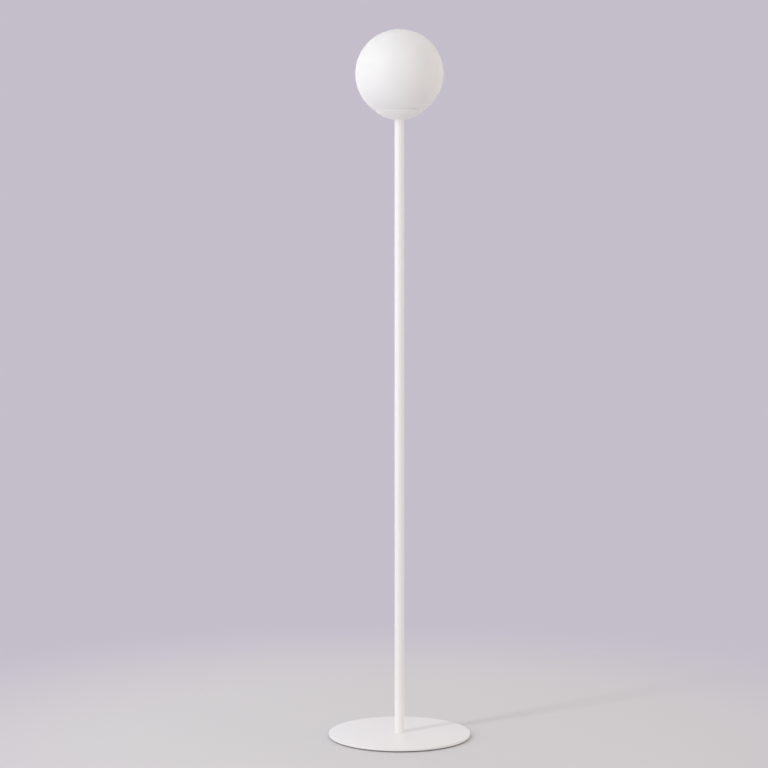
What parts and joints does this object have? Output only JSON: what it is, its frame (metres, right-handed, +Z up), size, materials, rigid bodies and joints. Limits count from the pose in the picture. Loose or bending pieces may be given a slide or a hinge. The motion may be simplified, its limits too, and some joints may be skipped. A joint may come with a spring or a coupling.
{
  "type": "floor lamp",
  "caption": "Globe floor lamp: a disc base, a slim straight pole and an opal glass globe held in a shallow cup by leaf springs, with a screw lampholder and bulb inside.",
  "frame": {"origin": "on the floor, under the middle of the base", "axes": "+Z up along the pole; +Y to the back, where the lead comes in; +X to the right seen from the front"},
  "size_m": [0.32, 0.32, 1.6],
  "materials": {
    "white_powder_coat": "semi-gloss white powder coat with a fine orange peel",
    "opal_glass": "satin opal glass, opaque to the eye",
    "black_rubber": "matt black rubber",
    "zinc_steel": "bright zinc plating",
    "spring_steel": "rolled spring steel",
    "brass": "plain brass",
    "nickel": "nickel plating",
    "clear_silicone": "milky silicone",
    "white_plastic": "moulded thermoplastic",
    "cream_plastic": "heat-resisting moulded plastic",
    "lead_sheath": "soft white PVC sheath",
    "brown_wire": "brown PVC insulation",
    "blue_wire": "blue PVC insulation",
    "green_yellow_wire": "green PVC insulation with a yellow stripe",
    "bulb_plastic": "moulded plastic over an aluminium core",
    "frosted_dome": "frosted diffuser",
    "black_glass": "black vitrified insulator",
    "board_aluminium": "white-coated aluminium board",
    "circuit_board": "green laminate with parts"
  },
  "bodies": {
    "stand": {"base_pads": "black_rubber", "base_plate": "white_powder_coat", "base_screw": "zinc_steel", "centre_contact": "brass", "clip_bracket": "zinc_steel", "clip_rivets": "zinc_steel", "cord_bush": "white_plastic", "cup_nut": "brass", "earth_wire": "green_yellow_wire", "globe_clips": "spring_steel", "globe_seat": "clear_silicone", "holder_cup": "white_powder_coat", "inner_lead": "lead_sheath", "lampholder_cap": "white_plastic", "lampholder_sleeve": "white_plastic", "live_wire": "brown_wire", "neutral_wire": "blue_wire", "nipple": "zinc_steel", "pole": "white_powder_coat", "pole_foot_plug": "zinc_steel", "pole_top_plug": "zinc_steel", "screw_shell": "nickel", "terminal_block": "cream_plastic", "terminal_screws": "zinc_steel", "terminals": "brass", "thread_insert": "zinc_steel", "toothed_washer": "zinc_steel"},
    "glass": {"globe": "opal_glass"},
    "bulb_lift": {"bulb_contact": "zinc_steel"},
    "bulb": {"bulb_insulator": "black_glass", "bulb_shell": "nickel", "bulb_housing": "bulb_plastic", "led_board": "board_aluminium", "bulb_driver": "circuit_board", "bulb_dome": "frosted_dome"}
  },
  "joints": [
    {"name": "globe_lift", "type": "slide", "parent": "stand", "child": "glass", "axis": [0, 0, 1], "range_m": [0, 0.17], "deforming": ["globe_clips"]},
    {"name": "bulb_rise", "type": "slide", "parent": "stand", "child": "bulb_lift", "axis": [0, 0, 1], "range_m": [0, 0.0218], "deforming": ["centre_contact"]},
    {"name": "bulb_turn", "type": "hinge", "parent": "bulb_lift", "child": "bulb", "pos_m": [0, 0, 1.4369], "axis": [0, 0, 1], "range_deg": [0, 2160]}
  ],
  "couplings": [
    {"joint": "bulb_rise", "follows": "bulb_turn", "m_per_rad": 0.00057757}
  ]
}
